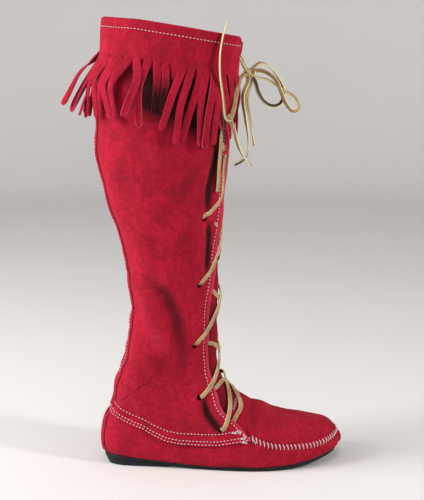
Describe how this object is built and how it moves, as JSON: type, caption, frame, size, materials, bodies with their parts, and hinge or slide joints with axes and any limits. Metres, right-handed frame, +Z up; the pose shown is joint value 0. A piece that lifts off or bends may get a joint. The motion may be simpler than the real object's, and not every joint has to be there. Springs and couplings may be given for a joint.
{
  "type": "moccasin boot",
  "caption": "Knee-high suede moccasin boot for the right foot, with a front lace throat, fringed collar and thin rubber sole.",
  "frame": {"origin": "on the floor, in the middle of the heel's tread", "axes": "+Z up along the leg, +X towards the toe, +Y towards the inner side of the foot"},
  "size_m": [0.2836, 0.1376, 0.4635],
  "materials": {
    "red_suede": "matt nap",
    "dark_red_suede": "matt nap",
    "sole_rubber": "matt",
    "insole_leather": "smooth",
    "lace_leather": "waxed"
  },
  "bodies": {
    "root": {"outsole": "sole_rubber", "heel_lift": "sole_rubber", "upper": "red_suede", "insole": "insole_leather", "shaft": "red_suede", "tongue": "dark_red_suede", "back_strap": "red_suede", "heel_tab": "red_suede", "fringe_cuff": "red_suede", "lace_crossings": "lace_leather", "lace_knot": "lace_leather", "lace_neck_outer": "lace_leather", "lace_neck_inner": "lace_leather", "lace_loop_front": "lace_leather", "lace_loop_back": "lace_leather", "lace_end_up": "lace_leather", "lace_end_hook": "lace_leather", "lace_end_front": "lace_leather", "lace_end_side": "lace_leather"}
  },
  "joints": []
}
